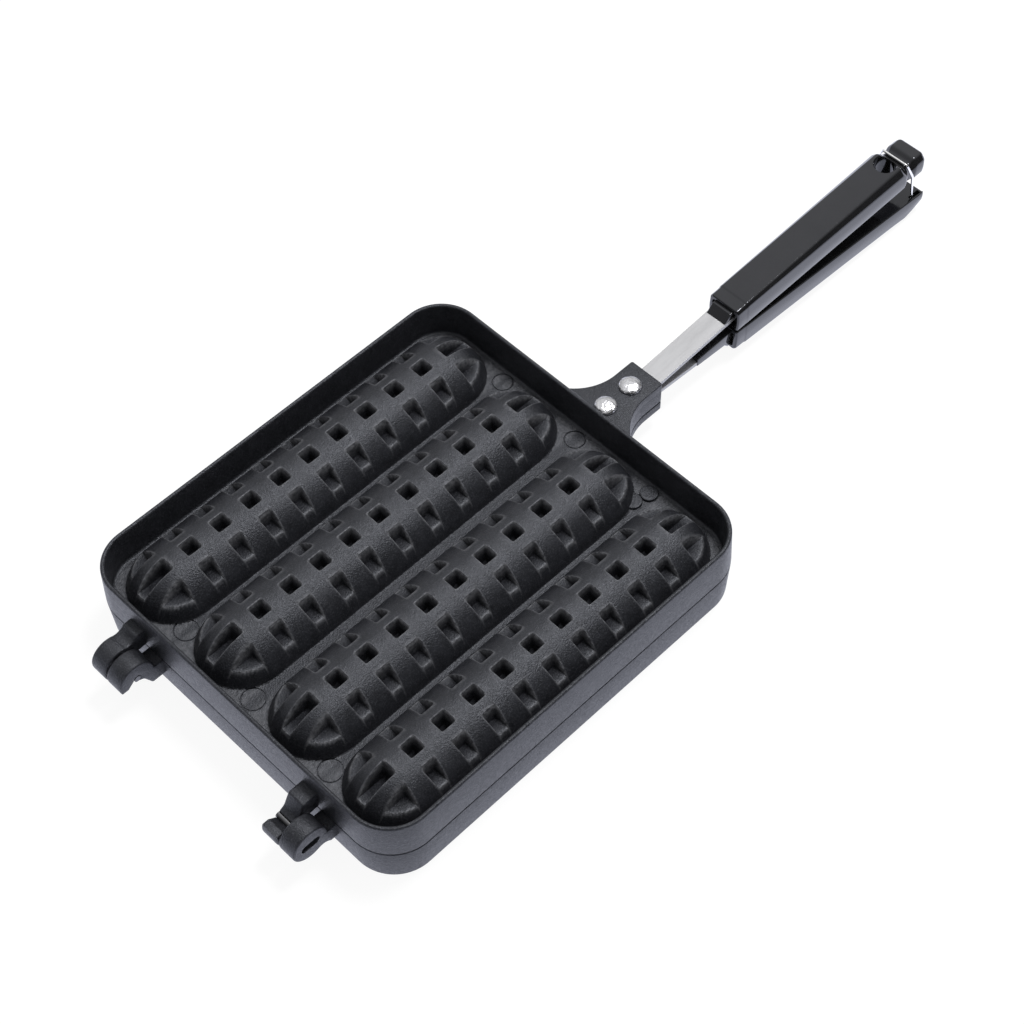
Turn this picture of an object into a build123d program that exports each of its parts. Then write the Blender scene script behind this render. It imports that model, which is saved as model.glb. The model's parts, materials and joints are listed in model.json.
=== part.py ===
"""Hot dog grill pan: two hinged cast halves with waffle-pocketed humps, bakelite grips and a wire bail.

Millimetres. X runs along the handle, from the hinge to the grips' tails, Y across the pan and Z up.
The origin is on the table, under the middle of the closed pan's overall length.
The lower half is the upper half turned over about the parting line, apart from the grips' tails.
Heights named "rise" are measured from the parting plane between the two halves.
"""
from build123d import *
from math import atan2, cos, radians, sin, sqrt, tan
import os

os.makedirs("parts", exist_ok=True)

# Whole pan
overall_length = 385.9
half_height = 16.8
parting = half_height
turn_axis = Axis((0, 0, parting), (1, 0, 0))

# Rim and web of one casting
rim_length = 177.5
rim_width = 160.0
rim_corner = 17.0
rim_thickness = 1.75
wall_draft = 2.4
web_thickness = 2.0

# Humps: rods with round ends, set a little below the parting plane
hump_rows = (-57.7, -19.9, 19.9, 57.7)
hump_radius = 17.9
hollow_radius = 11.9
hump_sink = 1.5
hump_end_inset = 22.7

# Waffle pockets outside, and the pegs that the crest row makes inside
pocket_pitch = 14.2
pocket_columns = 9
pocket_draft = 10.0
pocket_floor_rise = 8.8
crest_mouth = 6.2
side_mouth = 6.1
side_pocket_offset = 7.6
side_pocket_reach = 16.5
end_pocket_inset = 21.6
end_pocket_start = 5.0
peg_wall = 1.6

# Hinge: one plain knuckle and one hooked knuckle on each casting
hinge_setback = 11.8
knuckle_radius = 7.6
knuckle_width = 7.8
plain_knuckle_row = 49.8
hook_knuckle_row = 41.2
arm_gap = 0.3
pin_radius = 1.3
pin_clearance = 0.06
pin_socket = 5.5
hook_lip_rise = 2.6
hook_lip_length = 3.2
hook_arm_rise = 7.4
hook_throat = 4.9
hook_throat_rise = 1.0
hook_nose_rise = 0.8
end_slot_length = 7.0
end_slot_width = 2.6
end_slot_depth = 1.5

# Lug that carries the strap
lug_length = 31.3
lug_half_width = 8.0
lug_flare = 22.0
lug_tip_corner = 0.8
lug_under_rise = 3.2
lug_top_rise = 7.5
key_wall = 2.7
key_start = 6.5
key_drop = 2.9

# Strap and rivets
strap_width = 9.8
strap_thickness = 1.8
strap_start = 3.5
strap_bend = 32.5
strap_mouth = 69.5
strap_end = 134.5
strap_mouth_rise = 6.2
tang_slope = 0.055
strap_bend_radius = 14.0
rivet_distances = (8.4, 21.8)
rivet_head_radius = 4.55
rivet_head_height = 2.1
rivet_head_shoulder = (3.2, 1.35)
rivet_shank_radius = 2.5
rivet_tail_radius = 3.5
rivet_tail_height = 1.1

# Grips: a bar with upright sides and sloped shoulders, tilted away from the parting plane
grip_start = 74.5
grip_gap = 0.5
grip_slope = 0.0564
grip_height = 11.1
front_half_side = 7.8
front_shoulder = 9.85
front_half_top = 6.5
rear_station = 167.5
rear_half_side = 8.75
rear_shoulder = 8.5
rear_half_top = 6.08
grip_rounding = 1.6
collar_length = 6.0
collar_step = 0.7
collar_inset = 0.35
mouth_depth = 2.5
mouth_wall = 1.5
tongue_half_width = 4.75
tongue_start = 69.5
tongue_top_rise = 9.6
tongue_nose = 3.5
tongue_end = 78.0
screw_distance = 122.5
screw_radius = 1.5
screw_head_radius = 3.0
screw_length = 8.6
screw_slot = 0.8

# Tail of the upper grip: hanging hole, groove for the bail and end block
body_end = 172.0
hang_hole_distance = 170.0
hang_hole_radius = 4.55
upper_tail_end = 188.0
tail_corner = 2.5
tail_under_rise = 6.3
block_top_rise = 15.45
block_front = 179.5
block_section = ((7.3, 6.3), (7.6, 10.4), (7.1, 12.0), (5.0, block_top_rise))
waist_top_rise = 14.95
waist_section = ((6.9, 6.3), (7.1, 10.4), (6.5, 12.0), (4.6, waist_top_rise))

# Tail of the lower grip, rounded underneath and slotted for the bail's legs
lower_tail_end = 189.0
underside_arc = ((163.0, 16.62), (178.0, 15.1), (189.5, 10.3))

# Wire bail
wire_radius = 0.55
bail_pivot_distance = 183.5
bail_pivot_rise = -8.8
bail_bar_distance = 176.5
bail_bar_rise = 15.75
bail_foot_row = 3.3
bail_leg_row = 6.8
bail_shoulder_row = 8.7
bail_bar_row = 6.2
bail_shoulder_share = 0.78
bail_bends = (0.8, 3.0, 1.2, 1.2, 3.0, 0.8)
slot_inner_gap = 0.1
slot_outer_gap = 0.65
slot_front_gap = 1.3
slot_end_wall = 1.2
foot_clearance = 0.05

# Places along X that follow from these sizes
hinge_x = knuckle_radius - overall_length / 2
rim_start = hinge_x + hinge_setback
rim_end = rim_start + rim_length
rim_middle = rim_start + rim_length / 2
hump_centre = parting - hump_sink
first_hump_end = rim_start + hump_end_inset
second_hump_end = rim_end - hump_end_inset


def beyond_rim(distance):
    """Place along X of a point at a distance past the handle side of the rim."""
    return rim_end + distance


def turned_over(piece):
    """The same piece in the lower half, turned half a turn about the parting line."""
    return piece.part.rotate(turn_axis, 180)


grip_tilt = atan2(grip_slope, 1)
grip_plane = Plane(
    origin=(beyond_rim(grip_start), 0, parting + grip_gap),
    x_dir=(0, 1, 0),
    z_dir=(cos(grip_tilt), 0, sin(grip_tilt)),
)


def grip_station(distance):
    """Plane across the grip at a distance past the rim, its origin on the grip's inner face."""
    return grip_plane.offset((distance - grip_start) / cos(grip_tilt))


# Humps and hollows

def rod_with_round_ends(radius):
    """One rod per hump row, each a line with two quarter circles turned about the hump's axis."""
    with BuildPart() as rods:
        for row in hump_rows:
            with BuildSketch(Plane.XZ.offset(-row)):
                with BuildLine():
                    CenterArc((first_hump_end, hump_centre), radius, 90, 90)
                    CenterArc((second_hump_end, hump_centre), radius, 0, 90)
                    Line((first_hump_end, hump_centre + radius), (second_hump_end, hump_centre + radius))
                    Line((first_hump_end - radius, hump_centre), (second_hump_end + radius, hump_centre))
                make_face()
            revolve(axis=Axis((0, row, hump_centre), (1, 0, 0)))
        split(bisect_by=Plane.XY.offset(parting), keep=Keep.TOP)
    return rods.part


def narrowed(mouth, rise):
    """Width at the pocket floor of a pocket whose mouth, at a rise, has the given width."""
    return mouth - 2 * (rise - pocket_floor_rise) * tan(radians(pocket_draft))


def hump_rise(offset):
    """Rise of the hump's skin at an offset from its crest line."""
    return sqrt(hump_radius**2 - offset**2) - hump_sink


columns = [(n - pocket_columns // 2) * pocket_pitch for n in range(pocket_columns)]
crest_floor = narrowed(crest_mouth, hump_rise(0))
side_floor = narrowed(side_mouth, hump_rise(side_pocket_offset))
end_floor_length = end_pocket_inset - (crest_mouth - crest_floor) / 2 - end_pocket_start
end_column = (rim_length - end_floor_length) / 2 - end_pocket_start
side_floor_start = side_pocket_offset + (side_mouth - side_floor) / 2
side_floor_width = side_pocket_reach - side_floor_start
side_floor_row = (side_pocket_reach + side_floor_start) / 2
pocket_places = [(rim_middle + column, row) for row in hump_rows for column in columns]
end_places = [(rim_middle + side * end_column, row) for row in hump_rows for side in (-1, 1)]


def drafted_prism(length, width, floor_rise):
    """Prism that stands on a floor at a rise and widens upwards, its walls drafted as the pockets are."""
    floor = Plane.XY.offset(parting + floor_rise)
    with BuildPart() as prism:
        with BuildSketch(floor):
            Rectangle(length, width)
        extrude(amount=half_height - floor_rise)
        draft(prism.faces().filter_by(Axis.Z, reverse=True), floor, -pocket_draft)
    return prism.part


def beside(places, offset):
    """The places moved to both sides of their crest line by an offset."""
    return [(x, row + side * offset) for x, row in places for side in (-1, 1)]


with BuildPart() as humps:
    add(rod_with_round_ends(hump_radius))
    with Locations(*pocket_places):
        add(drafted_prism(crest_floor, crest_floor, pocket_floor_rise), mode=Mode.SUBTRACT)
    with Locations(*end_places):
        add(drafted_prism(end_floor_length, crest_floor, pocket_floor_rise), mode=Mode.SUBTRACT)
    with Locations(*beside(pocket_places, side_floor_row)):
        add(drafted_prism(side_floor, side_floor_width, pocket_floor_rise), mode=Mode.SUBTRACT)
    with Locations(*beside(end_places, side_floor_row)):
        add(drafted_prism(end_floor_length, side_floor_width, pocket_floor_rise), mode=Mode.SUBTRACT)

with BuildPart() as hollows:
    peg_rise = pocket_floor_rise - peg_wall
    peg_width = crest_floor + 2 * peg_wall
    add(rod_with_round_ends(hollow_radius))
    with Locations(*pocket_places):
        add(drafted_prism(peg_width, peg_width, peg_rise), mode=Mode.SUBTRACT)
    with Locations(*end_places):
        add(drafted_prism(end_floor_length + 2 * peg_wall, peg_width, peg_rise), mode=Mode.SUBTRACT)


# Hinge knuckles

def plain_knuckle():
    """A disc about the hinge axis, with an arm to the casting's wall, flush with the disc's top."""
    with BuildPart() as knuckle:
        with BuildSketch(Plane.XZ.offset(-plain_knuckle_row)):
            with Locations((hinge_x, parting)):
                Circle(knuckle_radius)
            arm_rise = knuckle_radius - arm_gap
            with Locations((hinge_x, parting + arm_gap)):
                Rectangle(hinge_setback + 1, arm_rise, align=(Align.MIN, Align.MIN))
        extrude(amount=knuckle_width / 2, both=True)
        inner_face = plain_knuckle_row - knuckle_width / 2
        with BuildSketch(Plane.XZ.offset(-inner_face)):
            with Locations((hinge_x, parting)):
                Circle(pin_radius)
        extrude(amount=-pin_socket, mode=Mode.SUBTRACT)
        outer_face = plain_knuckle_row + knuckle_width / 2
        with BuildSketch(Plane.XZ.offset(-outer_face)):
            with Locations((hinge_x, parting)):
                SlotOverall(end_slot_length, end_slot_width)
        extrude(amount=end_slot_depth, mode=Mode.SUBTRACT)
    return knuckle.part


def hook_knuckle():
    """A disc and arm whose top is cut open down to the pin, leaving a low lip in front of it."""
    seat = pin_radius + pin_clearance
    with BuildPart() as knuckle:
        with BuildSketch(Plane.XZ.offset(hook_knuckle_row)):
            with Locations((hinge_x, parting)):
                Circle(knuckle_radius)
            with Locations((hinge_x, parting + arm_gap)):
                Rectangle(hinge_setback + 1, hook_arm_rise - arm_gap, align=(Align.MIN, Align.MIN))
            with BuildLine(Plane.XZ.offset(hook_knuckle_row).move(Location((hinge_x, 0, parting)))):
                lip_end = hook_lip_length - knuckle_radius
                above = 2 * knuckle_radius
                Polyline(
                    (-seat, 0), (seat, 0), (seat, hook_throat_rise), (hook_throat, hook_arm_rise),
                    (hook_throat, above), (-above, above), (-above, hook_lip_rise),
                    (lip_end, hook_lip_rise), (-seat, hook_nose_rise), close=True,
                )
            make_face(mode=Mode.SUBTRACT)
            with Locations((hinge_x, parting)):
                Circle(seat, mode=Mode.SUBTRACT)
        extrude(amount=knuckle_width / 2, both=True)
    return knuckle.part


# Lug

with BuildSketch() as lug_side:
    tip = beyond_rim(lug_length)
    with BuildLine():
        flare = CenterArc((rim_end + lug_flare, lug_half_width + lug_flare), lug_flare, 180, 90)
        side = Line(flare @ 1, (tip - lug_tip_corner, lug_half_width))
        corner = RadiusArc(side @ 1, (tip, lug_half_width - lug_tip_corner), lug_tip_corner)
        Polyline(corner @ 1, (tip, 0), (rim_end - 1, 0), (rim_end - 1, (flare @ 0).Y), flare @ 0)
    make_face()

with BuildSketch() as lug_key:
    add(lug_side.sketch)
    with Locations((0, -key_wall)):
        add(lug_side.sketch, mode=Mode.SUBTRACT)
    with Locations((beyond_rim(key_start), lug_half_width - key_wall)):
        Rectangle(lug_length, lug_flare, align=(Align.MIN, Align.MIN), mode=Mode.INTERSECT)


# Castings

def wall_shift(rise):
    """How far a drafted wall moves sideways over a rise."""
    return rise * tan(radians(wall_draft))


def rounded_plan(inset):
    """Rounded rectangle of the rim's plan, moved in by an inset all round."""
    with Locations((rim_middle, 0)):
        RectangleRounded(rim_length - 2 * inset, rim_width - 2 * inset, rim_corner - inset)


with BuildPart() as upper_plate:
    tray_depth = half_height - web_thickness
    tray_inset = rim_thickness + wall_shift(tray_depth)
    with BuildSketch(Plane.XY.offset(parting)):
        rounded_plan(-wall_shift(half_height))
    with BuildSketch(Plane.XY.offset(2 * parting)):
        rounded_plan(0)
    loft()
    with BuildSketch(Plane.XY.offset(parting + web_thickness)):
        rounded_plan(tray_inset)
    with BuildSketch(Plane.XY.offset(2 * parting)):
        rounded_plan(rim_thickness)
    loft(mode=Mode.SUBTRACT)
    add(humps.part)
    add(hollows.part, mode=Mode.SUBTRACT)
    with BuildSketch(Plane.XY.offset(parting + lug_under_rise)):
        add(lug_side.sketch)
        mirror(about=Plane.XZ)
    extrude(amount=lug_top_rise - lug_under_rise)
    with BuildSketch(Plane.XY.offset(parting - key_drop)):
        mirror(lug_key.sketch, about=Plane.XZ)
    extrude(amount=lug_under_rise + key_drop + 0.5)
    with Locations(*[(beyond_rim(distance), 0, parting + lug_top_rise) for distance in rivet_distances]):
        Hole(rivet_shank_radius, depth=lug_top_rise - lug_under_rise)
    add(plain_knuckle())
    add(hook_knuckle())
upper_plate.part.label = "upper_plate"
export_step(upper_plate.part, "parts/upper_plate.step")

with BuildPart() as lower_plate:
    add(turned_over(upper_plate))
lower_plate.part.label = "lower_plate"
export_step(lower_plate.part, "parts/lower_plate.step")


# Straps

strap_top = lug_under_rise - strap_thickness / 2
with BuildPart() as upper_strap:
    mouth_rise = strap_mouth_rise - strap_thickness / 2
    end_rise = mouth_rise + tang_slope * (strap_end - strap_mouth)
    with BuildSketch(Plane.XZ):
        with BuildLine():
            FilletPolyline(
                (beyond_rim(strap_start), parting + strap_top),
                (beyond_rim(strap_bend), parting + strap_top),
                (beyond_rim(strap_mouth), parting + mouth_rise),
                (beyond_rim(strap_end), parting + end_rise),
                radius=strap_bend_radius,
            )
        trace(line_width=strap_thickness)
    extrude(amount=strap_width / 2, both=True)
    with Locations(*[(beyond_rim(distance), 0, parting + lug_under_rise) for distance in rivet_distances]):
        Hole(rivet_shank_radius, depth=strap_thickness)
    with Locations(Plane(origin=grip_station(screw_distance).origin, z_dir=grip_plane.y_dir)):
        Hole(screw_radius, depth=screw_length)
upper_strap.part.label = "upper_strap"
export_step(upper_strap.part, "parts/upper_strap.step")

with BuildPart() as lower_strap:
    add(turned_over(upper_strap))
lower_strap.part.label = "lower_strap"
export_step(lower_strap.part, "parts/lower_strap.step")


# Rivets: a raised head on the lug, a shank through lug and strap, a flattened tail under the strap

def rivet(distance):
    """One rivet, a profile turned about its own axis, its head two cones one on the other."""
    centre = beyond_rim(distance)
    head_base = parting + lug_top_rise
    tail_top = parting + lug_under_rise - strap_thickness
    tail_end = tail_top - rivet_tail_height
    with BuildPart() as turned:
        with BuildSketch(Plane.XZ):
            with BuildLine():
                Polyline(
                    (centre, head_base + rivet_head_height),
                    (centre + rivet_head_shoulder[0], head_base + rivet_head_shoulder[1]),
                    (centre + rivet_head_radius, head_base),
                    (centre + rivet_shank_radius, head_base),
                    (centre + rivet_shank_radius, tail_top),
                    (centre + rivet_tail_radius, tail_top),
                    (centre + rivet_tail_radius, tail_end),
                    (centre, tail_end),
                    close=True,
                )
            make_face()
        revolve(axis=Axis((centre, 0, 0), (0, 0, 1)))
    return turned.part


with BuildPart() as upper_rivet_inner:
    add(rivet(rivet_distances[0]))
upper_rivet_inner.part.label = "upper_rivet_inner"
export_step(upper_rivet_inner.part, "parts/upper_rivet_inner.step")

with BuildPart() as upper_rivet_outer:
    add(rivet(rivet_distances[1]))
upper_rivet_outer.part.label = "upper_rivet_outer"
export_step(upper_rivet_outer.part, "parts/upper_rivet_outer.step")

with BuildPart() as lower_rivet_inner:
    add(turned_over(upper_rivet_inner))
lower_rivet_inner.part.label = "lower_rivet_inner"
export_step(lower_rivet_inner.part, "parts/lower_rivet_inner.step")

with BuildPart() as lower_rivet_outer:
    add(turned_over(upper_rivet_outer))
lower_rivet_outer.part.label = "lower_rivet_outer"
export_step(lower_rivet_outer.part, "parts/lower_rivet_outer.step")


# Hinge pins: each fixed in a plain knuckle and lying across the other casting's hook

with BuildPart() as left_hinge_pin:
    pin_start = hook_knuckle_row - knuckle_width / 2
    pin_length = plain_knuckle_row - knuckle_width / 2 + pin_socket - pin_start
    with BuildSketch(Plane.XZ.offset(-pin_start)):
        with Locations((hinge_x, parting)):
            Circle(pin_radius)
    extrude(amount=-pin_length)
left_hinge_pin.part.label = "left_hinge_pin"
export_step(left_hinge_pin.part, "parts/left_hinge_pin.step")

with BuildPart() as right_hinge_pin:
    add(turned_over(left_hinge_pin))
right_hinge_pin.part.label = "right_hinge_pin"
export_step(right_hinge_pin.part, "parts/right_hinge_pin.step")


# Grip screws: countersunk in the grips' inner faces, through the strap's tang

with BuildPart() as upper_grip_screw:
    screw_origin = grip_station(screw_distance).origin
    with BuildSketch(Plane(origin=screw_origin, x_dir=grip_plane.z_dir, z_dir=grip_plane.x_dir * -1)):
        with BuildLine():
            Polyline(
                (0, 0), (screw_head_radius, 0), (screw_radius, screw_head_radius - screw_radius),
                (screw_radius, screw_length), (0, screw_length), close=True,
            )
        make_face()
    revolve(axis=Axis(screw_origin, grip_plane.y_dir))
    with BuildSketch(Plane(origin=screw_origin, x_dir=grip_plane.z_dir, z_dir=grip_plane.y_dir)):
        Rectangle(2 * screw_head_radius, screw_slot)
    extrude(amount=screw_slot, mode=Mode.SUBTRACT)
upper_grip_screw.part.label = "upper_grip_screw"
export_step(upper_grip_screw.part, "parts/upper_grip_screw.step")

with BuildPart() as lower_grip_screw:
    add(turned_over(upper_grip_screw))
lower_grip_screw.part.label = "lower_grip_screw"
export_step(lower_grip_screw.part, "parts/lower_grip_screw.step")


# Grips

def grip_outline(distance, inset=0.0, step=0.0):
    """Section of the grip at a distance past the rim, moved in at the sides and lowered at the top."""
    share = (distance - grip_start) / (rear_station - grip_start)
    half_side = front_half_side + share * (rear_half_side - front_half_side) - inset
    shoulder = front_shoulder + share * (rear_shoulder - front_shoulder) - step
    half_top = front_half_top + share * (rear_half_top - front_half_top) - inset
    with BuildSketch() as outline:
        with BuildLine():
            Polyline(
                (-half_side, 0), (half_side, 0), (half_side, shoulder),
                (half_top, grip_height - step), (-half_top, grip_height - step), (-half_side, shoulder),
                close=True,
            )
        make_face()
        fillet(outline.vertices().group_by(Axis.Y)[1:], grip_rounding)
    return outline.sketch


def grip_body(end):
    """Collar, body and hollow mouth with its tongue, up to the given distance past the rim."""
    with BuildPart() as body:
        with BuildSketch(grip_station(grip_start)):
            add(grip_outline(grip_start, collar_inset, collar_step))
        extrude(amount=collar_length + mouth_wall)
        for distance in (grip_start + collar_length, end):
            with BuildSketch(grip_station(distance)):
                add(grip_outline(distance))
        loft(ruled=True)
        with BuildSketch(grip_station(grip_start)):
            add(grip_outline(grip_start, collar_inset, collar_step))
            offset(amount=-mouth_wall, kind=Kind.INTERSECTION, mode=Mode.REPLACE)
        extrude(amount=mouth_depth, mode=Mode.SUBTRACT)
        with BuildSketch(Plane.XZ):
            with BuildLine():
                Polyline(
                    (beyond_rim(tongue_start), parting + strap_mouth_rise - strap_thickness / 2),
                    (beyond_rim(tongue_start), parting + strap_mouth_rise + 0.6),
                    (beyond_rim(tongue_start + tongue_nose), parting + tongue_top_rise),
                    (beyond_rim(tongue_end), parting + tongue_top_rise),
                    (beyond_rim(tongue_end), parting + strap_mouth_rise - strap_thickness / 2),
                    close=True,
                )
            make_face()
        extrude(amount=tongue_half_width, both=True)
    return body.part


def tail_section(half_section):
    """Closed section of a tail from the points of its right side, bottom to top."""
    right = [(row, parting + rise) for row, rise in half_section]
    left = [(-row, height) for row, height in reversed(right)]
    with BuildSketch() as section:
        with BuildLine():
            Polyline(*right, *left, close=True)
        make_face()
    return section.sketch


bail_lean = (bail_pivot_distance - bail_bar_distance) / (bail_bar_rise - bail_pivot_rise)

with BuildPart() as end_block:
    block_foot = block_front + bail_lean * (block_top_rise - tail_under_rise)
    with BuildSketch(Plane.XZ):
        with BuildLine():
            block_top = Line(
                (beyond_rim(block_front), parting + block_top_rise),
                (beyond_rim(upper_tail_end - tail_corner), parting + block_top_rise),
            )
            block_end = RadiusArc(
                block_top @ 1,
                (beyond_rim(upper_tail_end), parting + block_top_rise - tail_corner),
                tail_corner,
            )
            Polyline(
                block_end @ 1,
                (beyond_rim(upper_tail_end), parting + tail_under_rise),
                (beyond_rim(block_foot), parting + tail_under_rise),
                block_top @ 0,
            )
        make_face()
    extrude(amount=front_half_side, both=True)
    with BuildSketch(Plane.YZ.offset(beyond_rim(block_front))):
        add(tail_section(block_section))
    extrude(amount=upper_tail_end - block_front, mode=Mode.INTERSECT)

with BuildPart() as upper_grip:
    add(grip_body(body_end))
    with BuildSketch(Plane.YZ.offset(beyond_rim(body_end - collar_length))):
        add(tail_section(waist_section))
    extrude(amount=block_foot - body_end + collar_length)
    add(end_block.part)
    with Locations((beyond_rim(hang_hole_distance), 0, parting + half_height + 1)):
        Hole(hang_hole_radius, depth=half_height)
    add(upper_strap.part, mode=Mode.SUBTRACT)
    add(upper_grip_screw.part, mode=Mode.SUBTRACT)
upper_grip.part.label = "upper_grip"
export_step(upper_grip.part, "parts/upper_grip.step")

with BuildPart() as slotted_grip:
    add(grip_body(lower_tail_end))
    with BuildSketch(Plane.XZ):
        with BuildLine():
            arc_points = [(beyond_rim(distance), parting + rise) for distance, rise in underside_arc]
            belly = ThreePointArc(*arc_points)
            Polyline(
                belly @ 1,
                (belly @ 1) + (grip_height, 0),
                (belly @ 1) + (grip_height, half_height),
                (belly @ 0) + (0, grip_height),
                belly @ 0,
            )
        make_face()
    extrude(amount=2 * rear_half_side, both=True, mode=Mode.SUBTRACT)
    slot_start = bail_pivot_distance - wire_radius - slot_front_gap
    slot_length = lower_tail_end - slot_end_wall - slot_start
    slot_width = slot_inner_gap + 2 * wire_radius + slot_outer_gap
    slot_row = bail_leg_row + (slot_outer_gap - slot_inner_gap) / 2
    slot_depth = wire_radius + slot_inner_gap - bail_pivot_rise
    with BuildSketch(Plane.XY.offset(parting)):
        with Locations((beyond_rim(slot_start), -slot_row), (beyond_rim(slot_start), slot_row)):
            Rectangle(slot_length, slot_width, align=(Align.MIN, Align.CENTER))
    extrude(amount=slot_depth, mode=Mode.SUBTRACT)
    for side in (-1, 1):
        with BuildSketch(Plane.XZ.offset(side * bail_leg_row)):
            with Locations((beyond_rim(bail_pivot_distance), parting - bail_pivot_rise)):
                Circle(wire_radius + foot_clearance)
        extrude(amount=-side * (bail_leg_row - bail_foot_row + slot_inner_gap), mode=Mode.SUBTRACT)
    add(upper_strap.part, mode=Mode.SUBTRACT)
    add(upper_grip_screw.part, mode=Mode.SUBTRACT)

with BuildPart() as lower_grip:
    add(turned_over(slotted_grip))
lower_grip.part.label = "lower_grip"
export_step(lower_grip.part, "parts/lower_grip.step")


# Bail: one bent wire whose feet turn in the lower grip's tail and whose bar lies in the upper grip's groove

with BuildPart() as latch_bail:
    bail_pivot = Vector(beyond_rim(bail_pivot_distance), 0, parting + bail_pivot_rise)
    bail_bar = Vector(beyond_rim(bail_bar_distance), 0, parting + bail_bar_rise)
    bail_height = (bail_bar - bail_pivot).length
    bail_normal = Vector(0, 1, 0).cross(bail_bar - bail_pivot)
    with BuildLine(Plane(origin=bail_pivot, x_dir=(0, 1, 0), z_dir=bail_normal)) as wire:
        side_points = [
            (bail_foot_row, 0), (bail_leg_row, 0),
            (bail_shoulder_row, bail_shoulder_share * bail_height), (bail_bar_row, bail_height),
        ]
        other_side = [(-row, height) for row, height in reversed(side_points)]
        FilletPolyline(*side_points, *other_side, radius=bail_bends)
    with BuildSketch(Plane(origin=wire.line @ 0, z_dir=wire.line % 0)):
        Circle(wire_radius)
    sweep()
latch_bail.part.label = "latch_bail"
export_step(latch_bail.part, "parts/latch_bail.step")
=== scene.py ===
"""Hot dog grill pan: two coated castings with waffle-pocketed humps, black grips and a wire bail.

Lengths are in millimetres until add_piece puts them into a mesh in metres. X runs along the handle, Y across
the pan and Z up. A "rise" is a height above the parting plane between the two castings.
"""
import json
from math import atan2, pi, radians, sqrt, tan

import bmesh
import bpy
import numpy as np
from mathutils import Matrix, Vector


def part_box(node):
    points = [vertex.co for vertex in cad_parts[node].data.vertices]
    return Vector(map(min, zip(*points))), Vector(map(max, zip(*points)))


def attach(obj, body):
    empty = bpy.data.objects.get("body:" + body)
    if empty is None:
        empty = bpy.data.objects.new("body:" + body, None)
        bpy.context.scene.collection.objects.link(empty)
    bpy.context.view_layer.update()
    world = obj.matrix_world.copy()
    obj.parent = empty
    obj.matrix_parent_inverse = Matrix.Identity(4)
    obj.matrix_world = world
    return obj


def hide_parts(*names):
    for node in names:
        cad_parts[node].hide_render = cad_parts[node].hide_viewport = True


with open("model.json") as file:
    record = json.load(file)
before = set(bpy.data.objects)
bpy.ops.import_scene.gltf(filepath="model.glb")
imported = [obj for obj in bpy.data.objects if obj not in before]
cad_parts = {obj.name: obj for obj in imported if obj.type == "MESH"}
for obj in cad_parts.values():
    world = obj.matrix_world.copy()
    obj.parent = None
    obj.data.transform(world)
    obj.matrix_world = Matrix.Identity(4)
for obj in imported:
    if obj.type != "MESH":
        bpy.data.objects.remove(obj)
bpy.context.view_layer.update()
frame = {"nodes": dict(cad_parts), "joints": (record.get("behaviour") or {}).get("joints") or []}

mm = 0.001
joints = {joint["name"]: joint for joint in frame["joints"]}
hinge_x, _, parting = [value / mm for value in joints["lid_hinge"]["pos_m"]]
pivot_x, _, pivot_z = [value / mm for value in joints["bail_swing"]["pos_m"]]
half_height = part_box("upper_plate")[1][2] / mm - parting

# Rim and web of a casting
rim_length = 177.5
rim_width = 160.0
rim_corner = 17.0
rim_thickness = 1.75
wall_slope = tan(radians(2.4))
web = 2.0
web_fillet = 1.2
rim_edge = 0.85
foot_edge = 0.5
land_gap = 0.12
land_width = 3.0
land_recess = 0.15
rim_start = hinge_x + 11.8
rim_end = rim_start + rim_length
rim_middle = (rim_start + rim_end) / 2

# Humps and the moulds inside them
hump_rows = (19.9, 57.7)
hump_radius = 17.9
hump_sink = 1.5
hump_half_length = rim_length / 2 - 22.7
hump_foot = 0.5
mould_radius = 11.9
mould_blend = 0.8
foot_end = sqrt((hump_radius + hump_foot)**2 - (web + hump_foot + hump_sink)**2)
foot_start = foot_end * hump_radius / (hump_radius + hump_foot)

# Waffle pockets
pocket_pitch = 14.2
outer_column = 4
pocket_floor = 8.8
exit_radius = sqrt(hump_radius**2 - (pocket_floor + hump_sink)**2)
pocket_slope = 1 / tan(radians(10))
pocket_corner = 0.9
floor_blend = 0.04
lip_rounding = 0.28
lip_wear_and_highlight_reach = 0.6
full_depth = 7.5
crest_half = 1.76
side_half = 2.01
side_start = 8.52
side_end = 16.5
end_floor_start = 5.0
end_floor_stop = 20.26
peg_wall = 1.6

# Hinge knuckles
knuckle_radius = 7.6
knuckle_half_width = 3.9
plain_row = 49.8
hook_row = 41.2
arm_gap = 0.3
arm_end = rim_start - hinge_x + 1.0
knuckle_edge = 0.7
pin_seat = 1.36
shoulder_top = 8.8
shoulder_start = 8.2
shoulder_dip = (5.6, 6.2)
shoulder_turn = 66
hook_start = 5.4
hook_dip = (2.5, 3.0)
hook_lip = 2.6
hook_nose = -4.6
slot_half_length = 4.1
slot_half_width = 1.8
slot_depth = 1.8
slot_taper = 0.92
shoulder_bends = (1.3, 4.0)
hook_bends = (1.0, 3.2)
hook_seat = (0.5, 1.9)
nose_radius = 1.0

# Marks on the web: place from the rim's middle, and radius
ring_marks = ((-76.2, 39.5, 4.5), (-78.0, 1.2, 4.5), (-77.8, -38.6, 4.5), (81.0, 39.0, 4.0), (80.7, 0.2, 4.0))
button_marks = ((81.9, -36.8, 3.5), (75.2, -35.0, 3.5))
button_height = 1.1
button_edge = 0.35
button_dimple = 0.05
button_root = 1.0
ring_section = ((-0.34, 0.3), (-0.12, -0.3), (0.12, -0.3), (0.34, 0.3))
ring_steps = 56

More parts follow.
